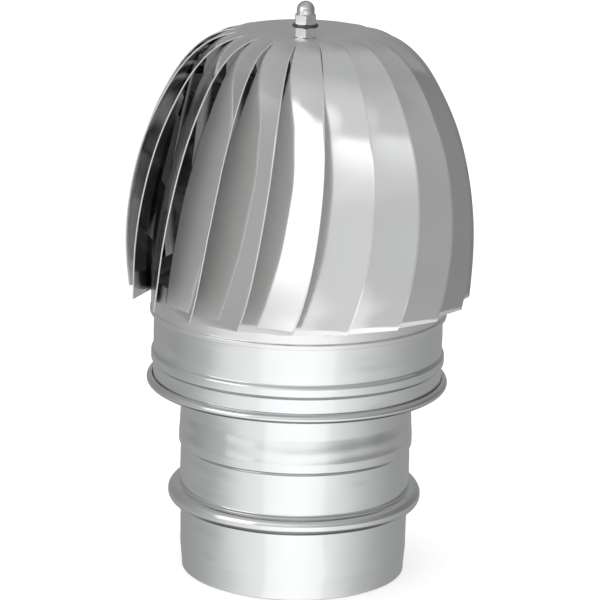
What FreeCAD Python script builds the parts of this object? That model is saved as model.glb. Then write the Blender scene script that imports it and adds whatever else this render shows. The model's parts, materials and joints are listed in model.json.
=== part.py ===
import FreeCAD, Part
import math
import os

# Rotating chimney cowl: a fixed neck that plugs into a 150 mm flue, and a louvred
# dome that turns on a spindle in two ball bearings. Millimetres, +Z up, origin on
# the spindle axis at the spigot's lower edge. Front is -Y.

V = FreeCAD.Vector
AXIS = V(0, 0, 1)
ORIGIN = V(0, 0, 0)

# ---------------------------------------------------------------- driving sizes
SHEET = 0.7              # neck sheet thickness
BLADE = 0.7              # dome blade thickness
CROWN_T = 0.9            # thickness of the dished crown

SPIGOT_R = 74.5          # spigot outer radius
SPIGOT_TIP_R = 73.4      # lead-in radius at the lower edge
SPIGOT_TAPER = 15.0      # height of the lead-in
BEAD_R = 83.0            # stop bead outer radius
BEAD_LOW, BEAD_HIGH = 45.7, 56.6
PIPE_R = 75.5            # tube above the stop bead
SWAGE_R = 76.5           # tube stiffening swage
SWAGE_LOW, SWAGE_HIGH = 86.0, 91.5
PIPE_TOP = 136.0

PLATE_Z = 125.0          # underside of the annular base plate
RIM_R = 98.2             # rolled rim outer radius
RIM_TOP = 131.0
COLLAR_R = 94.0          # collar wall
COLLAR_SWAGE_R = 95.5
COLLAR_SWAGE_LOW, COLLAR_SWAGE_HIGH = 142.0, 147.5
COLLAR_TOP = 189.0

RING_R = 95.9            # skirt ring outer radius
RING_LOW, RING_HIGH = 173.0, 198.0

BLADES = 20              # louvre blades
PITCH = 360.0 / BLADES
CROWN_R = 43.5           # crown rim, where the slits start
CROWN_Z = 357.15
APEX_R, APEX_Z = 38.0, 357.9   # highest ring of the crown, before its edge turns down
DISH_Z = 353.4           # nut seat at the dished centre

ROD_R = 4.0              # M8 spindle
NUT_AF = 13.0
NUT_H = 6.5
WASHER_T = 1.6
ACORN_H = 15.0
ACORN_CAP_R = 5.75       # domed cap of the top nut
TOP_WASHER_R = 8.4
NUT_TURN = 3.0           # corner of the visible nuts, degrees right of front

BRG_BORE, BRG_OD, BRG_W = 4.0, 11.0, 7.0       # radii and width, 8 x 22 x 7 bearing
BALL_R, BALL_PITCH_R, BALLS = 1.9845, 7.5, 7
RACE_R = 2.08            # raceway groove radius
UPPER_PLATE_TOP = 178.5  # upper spider plate, top face
LOWER_PLATE_TOP = 100.5  # lower spider plate, top face
STRIP_T = 2.5            # spider strip thickness
STRIP_W = 18.0
ARM_AZIMUTH = (30.0, 150.0, 270.0)

# Free-edge line of the blades: radius and height down the dome.
EDGE = [(43.5, 357.15), (52.0, 355.2), (60.0, 352.0), (70.0, 344.9), (78.7, 335.5),
        (88.5, 320.0), (100.3, 294.6), (109.6, 258.7), (112.8, 220.0), (110.7, 186.2)]
# Azimuth of the free edge against its height, in degrees right of front.
EDGE_AZ = [(357.15, 11.0), (350.5, 9.3), (328.0, 8.5), (301.0, 8.0), (281.0, 7.4),
           (268.0, 6.8), (243.0, 5.2), (220.0, 3.2), (199.0, 0.5), (186.2, -1.9)]
# How far the tucked edge lies under the dome line, against the blade's length.
LIP = [(0.0, 0.0), (0.04, 0.9), (0.10, 3.0), (0.20, 7.2), (0.35, 14.4), (0.55, 18.5),
       (0.70, 18.2), (0.85, 16.2), (1.0, 13.9)]
# Overlap of the tucked edge behind the neighbour's free edge, in degrees.
LAP = [(0.0, -0.35), (0.05, -0.9), (0.12, -1.1), (0.20, -0.2), (0.30, 2.5), (0.42, 5.5), (0.60, 7.0),
       (0.80, 6.5), (1.0, 5.8)]
FOOT_DROP = 5.2          # tucked corner below the free corner


# ---------------------------------------------------------------- small helpers
def lerp_table(table, x):
    """Monotone cubic through (x, y) rows."""
    xs = [p[0] for p in table]
    ys = [p[1] for p in table]
    if xs[0] > xs[-1]:
        xs, ys = xs[::-1], ys[::-1]
    n = len(xs)
    d = [(ys[i + 1] - ys[i]) / (xs[i + 1] - xs[i]) for i in range(n - 1)]
    m = [d[0]] + [0.0] * (n - 2) + [d[-1]]
    for i in range(1, n - 1):
        if d[i - 1] * d[i] > 0:
            h0, h1 = xs[i] - xs[i - 1], xs[i + 1] - xs[i]
            w0, w1 = 2 * h1 + h0, h1 + 2 * h0
            m[i] = (w0 + w1) / (w0 / d[i - 1] + w1 / d[i])
    x = min(max(x, xs[0]), xs[-1])
    i = 0
    while i < n - 2 and x > xs[i + 1]:
        i += 1
    h = xs[i + 1] - xs[i]
    t = (x - xs[i]) / h
    return ((1 + 2 * t) * (1 - t) ** 2 * ys[i] + t * (1 - t) ** 2 * h * m[i]
            + t * t * (3 - 2 * t) * ys[i + 1] + t * t * (t - 1) * h * m[i + 1])


def natural_spline(xs, ys):
    """Second derivatives of the natural cubic spline through the points."""
    n = len(xs)
    a, b, c, r = [0.0] * n, [1.0] * n, [0.0] * n, [0.0] * n
    for i in range(1, n - 1):
        h0, h1 = xs[i] - xs[i - 1], xs[i + 1] - xs[i]
        a[i], b[i], c[i] = h0, 2 * (h0 + h1), h1
        r[i] = 6 * ((ys[i + 1] - ys[i]) / h1 - (ys[i] - ys[i - 1]) / h0)
    for i in range(1, n):
        w = a[i] / b[i - 1]
        b[i] -= w * c[i - 1]
        r[i] -= w * r[i - 1]
    m = [0.0] * n
    for i in range(n - 2, 0, -1):
        m[i] = (r[i] - c[i] * m[i + 1]) / b[i]
    return m


def spline_at(xs, ys, m, x):
    i = 0
    while i < len(xs) - 2 and x > xs[i + 1]:
        i += 1
    h = xs[i + 1] - xs[i]
    p, q = (xs[i + 1] - x) / h, (x - xs[i]) / h
    return (p * ys[i] + q * ys[i + 1]
            + ((p ** 3 - p) * m[i] + (q ** 3 - q) * m[i + 1]) * h * h / 6)


def polar(r, az, z):
    """Point at radius r, azimuth az in degrees right of front."""
    a = math.radians(az)
    return V(r * math.sin(a), -r * math.cos(a), z)


def offset_path(pts, d):
    """Shift a filleted (r, z, fillet) path by d to its left."""
    out = []
    n = len(pts)
    dirs = []
    for a, b in zip(pts, pts[1:]):
        size = math.hypot(b[0] - a[0], b[1] - a[1])
        dirs.append(((b[0] - a[0]) / size, (b[1] - a[1]) / size))
    for i, (r, z, f) in enumerate(pts):
        u = dirs[max(0, i - 1)]
        v = dirs[min(n - 2, i)]
        turn = math.atan2(u[0] * v[1] - u[1] * v[0], u[0] * v[0] + u[1] * v[1])
        k = math.tan(turn / 2)
        f2 = 0.0
        if f > 0:
            f2 = max(0.0, f - d if turn > 0 else f + d)
        out.append((r - d * u[1] - d * k * u[0], z + d * u[0] - d * k * u[1], f2))
    return out


def path_edges(pts):
    """Straight runs joined by tangent arcs, in the XZ plane."""
    edges = []
    prev = V(pts[0][0], 0, pts[0][1])
    for i in range(1, len(pts) - 1):
        p = V(pts[i][0], 0, pts[i][1])
        f = pts[i][2]
        a = V(pts[i - 1][0], 0, pts[i - 1][1])
        b = V(pts[i + 1][0], 0, pts[i + 1][1])
        u, v = (p - a).normalize(), (b - p).normalize()
        turn = math.acos(max(-1.0, min(1.0, u.dot(v))))
        if f < 1e-6 or turn < 1e-6:
            edges.append(Part.LineSegment(prev, p).toShape())
            prev = p
            continue
        run = f * math.tan(turn / 2)
        s, e = p - u * run, p + v * run
        bis = (v - u).normalize()
        mid = p + bis * (f / math.cos(turn / 2) - f)
        if (s - prev).Length > 1e-6:
            edges.append(Part.LineSegment(prev, s).toShape())
        edges.append(Part.Arc(s, mid, e).toShape())
        prev = e
    last = V(pts[-1][0], 0, pts[-1][1])
    edges.append(Part.LineSegment(prev, last).toShape())
    return edges


def sheet_face(pts, t):
    """Closed section of a bent sheet, thickness t to the left of the path."""
    inner = offset_path(pts, t)
    e1, e2 = path_edges(pts), path_edges(inner)
    start = Part.LineSegment(V(inner[0][0], 0, inner[0][1]), V(pts[0][0], 0, pts[0][1])).toShape()
    end = Part.LineSegment(V(pts[-1][0], 0, pts[-1][1]), V(inner[-1][0], 0, inner[-1][1])).toShape()
    wire = Part.Wire(Part.__sortEdges__(e1 + [end] + e2 + [start]))
    return Part.Face(wire)


def turned(pts):
    """Solid of revolution of a closed (r, z) polygon."""
    vs = [V(r, 0, z) for r, z in pts]
    return Part.Face(Part.makePolygon(vs + [vs[0]])).revolve(ORIGIN, AXIS, 360)


def tube(r0, r1, z0, z1):
    return turned([(r0, z0), (r1, z0), (r1, z1), (r0, z1)])


def hexagon(af, z0, z1, turn):
    r = af / math.sqrt(3)
    vs = [polar(r, turn + 60 * i, z0) for i in range(6)]
    return Part.Face(Part.makePolygon(vs + [vs[0]])).extrude(V(0, 0, z1 - z0))


def hex_nut(z0, turn, bore=ROD_R, both=True):
    """Hexagon nut with 30 degree corner chamfers."""
    z1 = z0 + NUT_H
    rc = NUT_AF / math.sqrt(3) + 0.2
    drop = (rc - NUT_AF / 2 * 0.98) * math.tan(math.radians(30))
    rf = NUT_AF / 2 * 0.98
    low = [(0, z0), (rf, z0), (rc, z0 + drop)] if both else [(0, z0), (rc, z0)]
    env = turned(low + [(rc, z1 - drop), (rf, z1), (0, z1)])
    nut = hexagon(NUT_AF, z0, z1, turn).common(env)
    cs = 0.5
    hole = turned([(0, z0), (bore + cs, z0), (bore, z0 + cs), (bore, z1 - cs), (bore + cs, z1), (0, z1)])
    return nut.cut(hole)


def washer(z0, t, r_in, r_out):
    e = 0.2
    return turned([(r_in, z0), (r_out - e, z0), (r_out, z0 + e), (r_out, z0 + t - e),
                   (r_out - e, z0 + t), (r_in, z0 + t)])


nodes = {}

# ---------------------------------------------------------------- fixed neck
pipe_path = [
    (SPIGOT_TIP_R, 0.0, 0), (SPIGOT_TIP_R, 2.0, 15), (SPIGOT_R, SPIGOT_TAPER, 20), (SPIGOT_R, BEAD_LOW - 0.3, 1.2),
    (BEAD_R, BEAD_LOW, 5.0), (BEAD_R, BEAD_HIGH, 5.0), (PIPE_R + 0.1, BEAD_HIGH + 0.3, 1.0),
    (PIPE_R - 0.05, 65.5, 3), (PIPE_R - 0.3, SWAGE_LOW - 2.0, 1.2), (SWAGE_R, SWAGE_LOW, 2.4),
    (SWAGE_R, SWAGE_HIGH, 24), (PIPE_R, SWAGE_HIGH + 16.0, 40), (PIPE_R, PIPE_TOP, 0)]
nodes["spigot_pipe"] = sheet_face(pipe_path, SHEET).revolve(ORIGIN, AXIS, 360)

plate_path = [
    (PIPE_R, PLATE_Z + 9.0, 0), (PIPE_R, PLATE_Z, 1.6), (RIM_R, PLATE_Z, 2.9),
    (RIM_R, RIM_TOP, 2.8), (COLLAR_R + 0.8, RIM_TOP, 0)]
nodes["base_plate"] = sheet_face(plate_path, SHEET).revolve(ORIGIN, AXIS, 360)

foot_z = PLATE_Z + 2 * SHEET
collar_path = [
    (COLLAR_R + 1.25, foot_z, 0), (COLLAR_R + 0.2, foot_z, 0.3),
    (COLLAR_R + 0.2, COLLAR_SWAGE_LOW - 1.8, 1.2), (COLLAR_SWAGE_R, COLLAR_SWAGE_LOW, 2.2),
    (COLLAR_SWAGE_R, COLLAR_SWAGE_HIGH, 2.0), (COLLAR_R + 0.1, COLLAR_SWAGE_HIGH + 1.8, 1.2),
    (COLLAR_R, COLLAR_TOP, 0)]
nodes["collar_shell"] = sheet_face(collar_path, SHEET).revolve(ORIGIN, AXIS, 360)


def spider(plate_top, wall_r, foot_z_end):
    """Hub disc with three strip arms, each end bent into a foot on the wall."""
    z1, z0 = plate_top, plate_top - STRIP_T
    body = tube(0, 20.0, z0, z1)
    up = foot_z_end > plate_top
    for az in ARM_AZIMUTH:
        reach = wall_r + 0.6
        if up:
            path = [(10.0, z0, 0), (reach, z0, 3.6), (reach, foot_z_end, 0)]
        else:
            path = [(reach, foot_z_end, 0), (reach, z1, 3.6), (10.0, z1, 0)]
        arm = sheet_face(path, STRIP_T)
        arm.translate(V(0, -STRIP_W / 2, 0))
        arm = arm.extrude(V(0, STRIP_W, 0))
        arm.rotate(ORIGIN, AXIS, az)
        body = body.fuse(arm)
    low, high = min(z0, foot_z_end) - 1, max(z1, foot_z_end) + 1
    body = body.common(tube(0, wall_r, low, high))
    body = body.cut(tube(0, 13.0, low, high))
    return body.removeSplitter()


nodes["lower_spider"] = spider(LOWER_PLATE_TOP, PIPE_R - SHEET, LOWER_PLATE_TOP + 17.0)
nodes["upper_spider"] = spider(UPPER_PLATE_TOP, COLLAR_R - SHEET, UPPER_PLATE_TOP - 19.0)


def bearing_cup(plate_top):
    top = plate_top + 1.5
    return turned([
        (9.2, top - 10.5), (13.0, top - 10.5), (13.0, plate_top), (17.0, plate_top), (17.0, top),
        (BRG_OD, top), (BRG_OD, top - 0.9), (BRG_OD + 0.6, top - 0.9), (BRG_OD + 0.6, top - 2.0),
        (BRG_OD, top - 2.0), (BRG_OD, top - 9.0), (9.2, top - 9.0)])


def circlip(z0):
    """Internal retaining ring: open ring with two eyed ears."""
    ring = tube(9.9, BRG_OD + 0.5, z0, z0 + 1.0)
    gap = Part.makeBox(4.4, 8.0, 3.0, V(-2.2, 7.0, z0 - 1.0))
    ring = ring.cut(gap)
    for side in (-1, 1):
        ear = Part.makeCylinder(1.3, 1.0, V(side * 3.2, 9.6, z0))
        eye = Part.makeCylinder(0.55, 1.0, V(side * 3.2, 9.6, z0))
        ring = ring.fuse(ear).cut(eye)
    return ring.removeSplitter()


for name, plate_top in (("lower", LOWER_PLATE_TOP), ("upper", UPPER_PLATE_TOP)):
    top = plate_top + 1.5
    b0 = top - 9.0
    b1 = b0 + BRG_W
    zc = (b0 + b1) / 2
    race = Part.makeTorus(BALL_PITCH_R, RACE_R, V(0, 0, zc), AXIS)
    e = 0.3
    outer = turned([(9.0, b0), (BRG_OD - e, b0), (BRG_OD, b0 + e), (BRG_OD, b1 - e),
                    (BRG_OD - e, b1), (9.0, b1)]).cut(race)
    inner = turned([(BRG_BORE + e, b0), (6.0, b0), (6.0, b1), (BRG_BORE + e, b1),
                    (BRG_BORE, b1 - e), (BRG_BORE, b0 + e)]).cut(race)
    balls = []
    cage = tube(6.7, 8.3, zc - 2.5, zc + 2.5)
    for i in range(BALLS):
        c = polar(BALL_PITCH_R, 360.0 * i / BALLS, zc)
        balls.append(Part.makeSphere(BALL_R, c))
        out = polar(1.0, 360.0 * i / BALLS, 0.0)
        cage = cage.cut(Part.makeCylinder(BALL_R + 0.12, 6.0, polar(5.0, 360.0 * i / BALLS, zc), out))
    nodes[name + "_bearing_cup"] = bearing_cup(plate_top)
    nodes[name + "_outer_ring"] = outer
    nodes[name + "_inner_ring"] = inner
    nodes[name + "_balls"] = Part.makeCompound(balls)
    nodes[name + "_cage"] = cage
    nodes[name + "_circlip"] = circlip(b1)
    if name == "lower":
        nodes["retaining_washer"] = washer(b0 - WASHER_T, WASHER_T, ROD_R, 7.5)
        nodes["retaining_nut"] = hex_nut(b0 - WASHER_T - NUT_H, 0.0)
        rod_low = b0 - WASHER_T - NUT_H - 3.0
    else:
        nodes["shoulder_washer"] = washer(b1, WASHER_T, ROD_R, 7.5)
        nodes["shoulder_nut"] = hex_nut(b1 + WASHER_T, 10.0)

# ---------------------------------------------------------------- turning head
# Dome line as a smooth curve against its running length.
run = [0.0]
for a, b in zip(EDGE, EDGE[1:]):
    run.append(run[-1] + math.hypot(b[0] - a[0], b[1] - a[1]))
run = [x / run[-1] for x in run]
er, ez = [p[0] for p in EDGE], [p[1] for p in EDGE]
mr, mz = natural_spline(run, er), natural_spline(run, ez)


def dome_line(s):
    return spline_at(run, er, mr, s), spline_at(run, ez, mz, s)


def blade_edges(s):
    """Tucked and free edge points of the blade whose free edge is at the front."""
    r, z = dome_line(s)
    h = 1e-4
    ra, za = dome_line(max(0.0, s - h))
    rb, zb = dome_line(min(1.0, s + h))
    size = math.hypot(rb - ra, zb - za)
    nr, nz = -(zb - za) / size, (rb - ra) / size
    lip = lerp_table(LIP, s)
    az = lerp_table(EDGE_AZ, z)
    free = polar(r, az, z)
    drop = FOOT_DROP * s ** 3
    tuck = polar(r - lip * nr, az - PITCH - lerp_table(LAP, s), z - lip * nz - drop)
    return tuck, free


def blade_section(s):
    """Four corners of the blade's section: outer face, then inner face."""
    h = 2e-3
    t0, f0 = blade_edges(max(0.0, s - h))
    t1, f1 = blade_edges(min(1.0, s + h))
    tuck, free = blade_edges(s)
    across = (free - tuck).normalize()
    down_t, down_f = (t1 - t0).normalize(), (f1 - f0).normalize()
    nt = down_t.cross(across).normalize()
    nf = down_f.cross(across).normalize()
    if nt.dot(V(tuck.x, tuck.y, 60.0)) < 0:
        nt = nt * -1
    if nf.dot(V(free.x, free.y, 60.0)) < 0:
        nf = nf * -1
    return [tuck, free, free - nf * BLADE, tuck - nt * BLADE]


STATIONS = [0.012, 0.03, 0.06, 0.10, 0.15, 0.21, 0.29, 0.38, 0.48, 0.58, 0.68, 0.79, 0.90, 1.0]


def root_section():
    """Blade root, inside the crown's rim."""
    t = 0.55
    z = CROWN_Z - 0.17
    kerf = 0.35
    a0, a1 = 11.0 - PITCH + kerf, 11.0
    r = CROWN_R - 0.75
    return [polar(r, a0, z), polar(r, a1, z), polar(r, a1, z - t), polar(r, a0, z - t)]


def blade():
    """One blade: four long edges, straight across, closed at root and foot."""
    sections = [root_section()] + [blade_section(s) for s in STATIONS]
    at = [-0.004] + STATIONS
    rails = []
    for i in range(4):
        curve = Part.BSplineCurve()
        curve.interpolate(Points=[sec[i] for sec in sections], Parameters=at)
        rails.append(curve.toShape())
    faces = [Part.makeRuledSurface(rails[i], rails[(i + 1) % 4]) for i in range(4)]
    for sec in (sections[0], sections[-1]):
        faces.append(Part.makeRuledSurface(
            Part.LineSegment(sec[0], sec[1]).toShape(), Part.LineSegment(sec[3], sec[2]).toShape()))
    shell = Part.makeShell(faces)
    shell.sewShape()
    solid = Part.makeSolid(shell)
    if solid.Volume < 0:
        solid.reverse()
    return solid


crown_path = [(CROWN_R, CROWN_Z, 0), (APEX_R, APEX_Z, 25.0), (10.5, DISH_Z, 14.0), (ROD_R + 0.2, DISH_Z, 0)]
crown = sheet_face(crown_path, CROWN_T).revolve(ORIGIN, AXIS, 360)

tuck_low, free_low = blade_edges(1.0)
foot_az = EDGE_AZ[-1][1] - PITCH - LAP[-1][1]
foot_low = tuck_low.z + 0.4
foot_sec = [V(RING_R, 0, foot_low), V(RING_R + 1.1, 0, foot_low), V(RING_R + 1.1, 0, foot_low + 8.0),
            V(RING_R, 0, foot_low + 8.0)]
foot = Part.Face(Part.makePolygon(foot_sec + [foot_sec[0]])).revolve(ORIGIN, AXIS, 4.0)
# Revolving starts on +X, which is 90 degrees right of front.
foot.rotate(ORIGIN, AXIS, foot_az - 90.0 + 0.2)

# Each blade meets the crown's rim face to face and carries its own foot tab.
one = blade().cut(crown).fuse(foot)
if len(one.Solids) == 1:
    one = one.Solids[0]
pieces = []
for k in range(BLADES):
    p = one.copy()
    p.rotate(ORIGIN, AXIS, PITCH * k)
    pieces.append(p)
nodes["rotor_crown"] = crown
nodes["rotor_blades"] = Part.makeCompound(pieces)

ring_path = [
    (RING_R + 0.6, RING_LOW, 0), (RING_R + 0.6, RING_LOW + 2.8, 0.9), (RING_R, RING_LOW + 3.6, 0.9),
    (RING_R, RING_HIGH, 0)]
nodes["rotor_ring"] = sheet_face(ring_path, 0.6).revolve(ORIGIN, AXIS, 360)

z = DISH_Z
nodes["crown_nut"] = hex_nut(z, NUT_TURN)
z += NUT_H
nodes["top_washer"] = washer(z, WASHER_T, ROD_R, TOP_WASHER_R)
z += WASHER_T
acorn_z = z
rc = NUT_AF / math.sqrt(3) + 0.2
rf = NUT_AF / 2 * 0.98
drop = (rc - rf) * math.tan(math.radians(30))
cap_r = ACORN_CAP_R
base = hexagon(NUT_AF, acorn_z, acorn_z + NUT_H, NUT_TURN).common(
    turned([(0, acorn_z), (rf, acorn_z), (rc, acorn_z + drop), (rc, acorn_z + NUT_H - drop),
            (rf, acorn_z + NUT_H), (0, acorn_z + NUT_H)]))
ball_z = acorn_z + ACORN_H - cap_r
cap_sec = [V(0, 0, acorn_z + 1.0), V(cap_r, 0, acorn_z + 1.0), V(cap_r, 0, ball_z)]
cap_arc = Part.Arc(V(cap_r, 0, ball_z),
                   V(cap_r * math.cos(math.pi / 4), 0, ball_z + cap_r * math.sin(math.pi / 4)),
                   V(0, 0, ball_z + cap_r)).toShape()
cap_face = Part.Face(Part.Wire(Part.__sortEdges__([
    Part.LineSegment(cap_sec[0], cap_sec[1]).toShape(),
    Part.LineSegment(cap_sec[1], cap_sec[2]).toShape(), cap_arc,
    Part.LineSegment(V(0, 0, ball_z + cap_r), cap_sec[0]).toShape()])))
cap = cap_face.revolve(ORIGIN, AXIS, 360)
bore = turned([(0, acorn_z), (ROD_R + 0.5, acorn_z), (ROD_R, acorn_z + 0.5), (ROD_R, acorn_z + 10.5),
               (0, acorn_z + 12.0)])
nodes["acorn_nut"] = base.fuse(cap).cut(bore)

z = DISH_Z - CROWN_T
nodes["crown_under_washer"] = washer(z - WASHER_T, WASHER_T, ROD_R, 10.0)
nodes["crown_under_nut"] = hex_nut(z - WASHER_T - NUT_H, 20.0)

rod_top = acorn_z + 9.5
nodes["spindle"] = turned([
    (0, rod_low), (ROD_R - 0.8, rod_low), (ROD_R, rod_low + 0.8), (ROD_R, rod_top - 0.8),
    (ROD_R - 0.8, rod_top), (0, rod_top)])

os.makedirs("parts", exist_ok=True)
for name, shape in nodes.items():
    box = shape.BoundBox
    print("%-20s valid %s solids %d vol %.1f  z %.2f..%.2f  r %.2f" % (
        name, shape.isValid(), len(shape.Solids), shape.Volume, box.ZMin, box.ZMax,
        max(box.XMax, box.YMax)))
    shape.exportStep("parts/%s.step" % name)
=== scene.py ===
import json
import math

import bmesh
import bpy
import numpy as np
from mathutils import Matrix, Vector


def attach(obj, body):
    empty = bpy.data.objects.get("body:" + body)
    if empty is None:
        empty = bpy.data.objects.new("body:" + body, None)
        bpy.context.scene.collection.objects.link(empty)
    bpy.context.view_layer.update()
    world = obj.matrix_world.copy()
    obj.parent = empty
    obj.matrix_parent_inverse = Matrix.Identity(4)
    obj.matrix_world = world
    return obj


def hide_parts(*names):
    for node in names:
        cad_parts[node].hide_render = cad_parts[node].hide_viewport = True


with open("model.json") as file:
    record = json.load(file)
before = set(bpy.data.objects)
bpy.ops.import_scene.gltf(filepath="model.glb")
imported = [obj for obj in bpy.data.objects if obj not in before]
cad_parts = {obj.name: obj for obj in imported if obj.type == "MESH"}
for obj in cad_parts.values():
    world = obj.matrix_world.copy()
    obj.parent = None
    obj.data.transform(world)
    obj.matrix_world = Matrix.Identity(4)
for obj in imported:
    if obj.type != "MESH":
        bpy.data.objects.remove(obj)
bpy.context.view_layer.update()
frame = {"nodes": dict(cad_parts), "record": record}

MM = 0.001

# ---------------------------------------------------------------- sizes, as in the CAD model (mm)
SHEET, BLADE, CROWN_T = 0.7, 0.7, 0.9
SPIGOT_R, SPIGOT_TIP_R, SPIGOT_TAPER = 74.5, 73.4, 15.0
BEAD_R, BEAD_LOW, BEAD_HIGH = 83.0, 45.7, 56.6
PIPE_R, SWAGE_R, SWAGE_LOW, SWAGE_HIGH, PIPE_TOP = 75.5, 76.5, 86.0, 91.5, 136.0
PLATE_Z, RIM_R, RIM_TOP = 125.0, 98.2, 131.0
COLLAR_R, COLLAR_SWAGE_R, COLLAR_SWAGE_LOW, COLLAR_SWAGE_HIGH, COLLAR_TOP = 94.0, 95.5, 142.0, 147.5, 189.0
RING_R, RING_LOW, RING_HIGH = 95.9, 173.0, 198.0
BLADES = 20
PITCH = 360.0 / BLADES
CROWN_R, CROWN_Z, DISH_Z = 43.5, 357.15, 353.4
APEX_R, APEX_Z = 38.0, 357.9
ROD_R, NUT_AF, NUT_H, WASHER_T, ACORN_H, NUT_TURN = 4.0, 13.0, 6.5, 1.6, 15.0, 3.0
ACORN_CAP_R, TOP_WASHER_R, ROD_LOW = 5.75, 8.4, 81.9
EDGE = [(43.5, 357.15), (52.0, 355.2), (60.0, 352.0), (70.0, 344.9), (78.7, 335.5),
        (88.5, 320.0), (100.3, 294.6), (109.6, 258.7), (112.8, 220.0), (110.7, 186.2)]
EDGE_AZ = [(357.15, 11.0), (350.5, 9.3), (328.0, 8.5), (301.0, 8.0), (281.0, 7.4),
           (268.0, 6.8), (243.0, 5.2), (220.0, 3.2), (199.0, 0.5), (186.2, -1.9)]
LIP = [(0.0, 0.0), (0.04, 0.9), (0.10, 3.0), (0.20, 7.2), (0.35, 14.4), (0.55, 18.5),
       (0.70, 18.2), (0.85, 16.2), (1.0, 13.9)]
LAP = [(0.0, -0.35), (0.05, -0.9), (0.12, -1.1), (0.20, -0.2), (0.30, 2.5), (0.42, 5.5), (0.60, 7.0),
       (0.80, 6.5), (1.0, 5.8)]
FOOT_DROP = 5.2
KERF = 0.35


# ---------------------------------------------------------------- curves
def table(rows, x):
    """Monotone cubic through (x, y) rows."""
    xs = [p[0] for p in rows]
    ys = [p[1] for p in rows]
    if xs[0] > xs[-1]:
        xs, ys = xs[::-1], ys[::-1]
    n = len(xs)
    d = [(ys[i + 1] - ys[i]) / (xs[i + 1] - xs[i]) for i in range(n - 1)]
    m = [d[0]] + [0.0] * (n - 2) + [d[-1]]
    for i in range(1, n - 1):
        if d[i - 1] * d[i] > 0:
            h0, h1 = xs[i] - xs[i - 1], xs[i + 1] - xs[i]
            w0, w1 = 2 * h1 + h0, h1 + 2 * h0
            m[i] = (w0 + w1) / (w0 / d[i - 1] + w1 / d[i])
    x = min(max(x, xs[0]), xs[-1])
    i = 0
    while i < n - 2 and x > xs[i + 1]:
        i += 1
    h = xs[i + 1] - xs[i]
    t = (x - xs[i]) / h
    return ((1 + 2 * t) * (1 - t) ** 2 * ys[i] + t * (1 - t) ** 2 * h * m[i]
            + t * t * (3 - 2 * t) * ys[i + 1] + t * t * (t - 1) * h * m[i + 1])


def natural_spline(xs, ys):
    n = len(xs)
    a, b, c, r = [0.0] * n, [1.0] * n, [0.0] * n, [0.0] * n
    for i in range(1, n - 1):
        h0, h1 = xs[i] - xs[i - 1], xs[i + 1] - xs[i]
        a[i], b[i], c[i] = h0, 2 * (h0 + h1), h1
        r[i] = 6 * ((ys[i + 1] - ys[i]) / h1 - (ys[i] - ys[i - 1]) / h0)
    for i in range(1, n):
        w = a[i] / b[i - 1]
        b[i] -= w * c[i - 1]
        r[i] -= w * r[i - 1]
    m = [0.0] * n
    for i in range(n - 2, 0, -1):
        m[i] = (r[i] - c[i] * m[i + 1]) / b[i]
    return m


def spline_at(xs, ys, m, x):
    i = 0
    while i < len(xs) - 2 and x > xs[i + 1]:
        i += 1
    h = xs[i + 1] - xs[i]
    p, q = (xs[i + 1] - x) / h, (x - xs[i]) / h
    return (p * ys[i] + q * ys[i + 1]
            + ((p ** 3 - p) * m[i] + (q ** 3 - q) * m[i + 1]) * h * h / 6)


run = [0.0]
for a, b in zip(EDGE, EDGE[1:]):
    run.append(run[-1] + math.hypot(b[0] - a[0], b[1] - a[1]))
run = [x / run[-1] for x in run]
er, ez = [p[0] for p in EDGE], [p[1] for p in EDGE]
mr, mz = natural_spline(run, er), natural_spline(run, ez)


def dome_line(s):
    return spline_at(run, er, mr, s), spline_at(run, ez, mz, s)


def polar(r, az, z):
    a = math.radians(az)
    return np.array([r * math.sin(a), -r * math.cos(a), z])


def blade_edges(s):
    """Tucked and free edge (radius, azimuth, height) of one blade."""
    r, z = dome_line(s)
    h = 1e-4
    ra, za = dome_line(max(0.0, s - h))
    rb, zb = dome_line(min(1.0, s + h))
    size = math.hypot(rb - ra, zb - za)
    nr, nz = -(zb - za) / size, (rb - ra) / size
    lip = table(LIP, s)
    az = table(EDGE_AZ, z)
    tuck = (r - lip * nr, az - PITCH - table(LAP, s), z - lip * nz - FOOT_DROP * s ** 3)
    return tuck, (r, az, z)


# ---------------------------------------------------------------- mesh helpers
def area_normals(mesh):
    """Shade by area-weighted normals, so broad faces stay true up to their rounded edges."""
    n = len(mesh.vertices)
    co = np.empty(n * 3)
    mesh.vertices.foreach_get("co", co)
    co = co.reshape(-1, 3)
    acc = np.zeros((n, 3))
    mesh.calc_loop_triangles()
    tri = np.empty(len(mesh.loop_triangles) * 3, dtype=np.int32)
    mesh.loop_triangles.foreach_get("vertices", tri)
    tri = tri.reshape(-1, 3)
    nrm = np.cross(co[tri[:, 1]] - co[tri[:, 0]], co[tri[:, 2]] - co[tri[:, 0]])
    for c in range(3):
        np.add.at(acc, tri[:, c], nrm)
    acc /= np.maximum(np.linalg.norm(acc, axis=1, keepdims=True), 1e-20)
    mesh.polygons.foreach_set("use_smooth", [True] * len(mesh.polygons))
    mesh.normals_split_custom_set_from_vertices(acc.tolist())


def make_object(name, verts, faces, material, smooth=True, marks=None, more=(), across=None):
    mesh = bpy.data.meshes.new(name)
    mesh.from_pydata([tuple(float(c) * MM for c in v) for v in verts], [], faces)
    mesh.validate()
    bm = bmesh.new()
    bm.from_mesh(mesh)
    bmesh.ops.recalc_face_normals(bm, faces=bm.faces)
    bm.to_mesh(mesh)
    bm.free()
    obj = bpy.data.objects.new(name, mesh)
    bpy.context.scene.collection.objects.link(obj)
    obj.data.materials.append(material)
    for extra in more:
        obj.data.materials.append(extra)
    if marks:
        mesh.polygons.foreach_set("material_index", marks)
    if across:
        layer = mesh.uv_layers.new(name="across")
        for lp in mesh.loops:
            layer.data[lp.index].uv = across[lp.vertex_index]
    if smooth:
        area_normals(mesh)
    return obj


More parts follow.
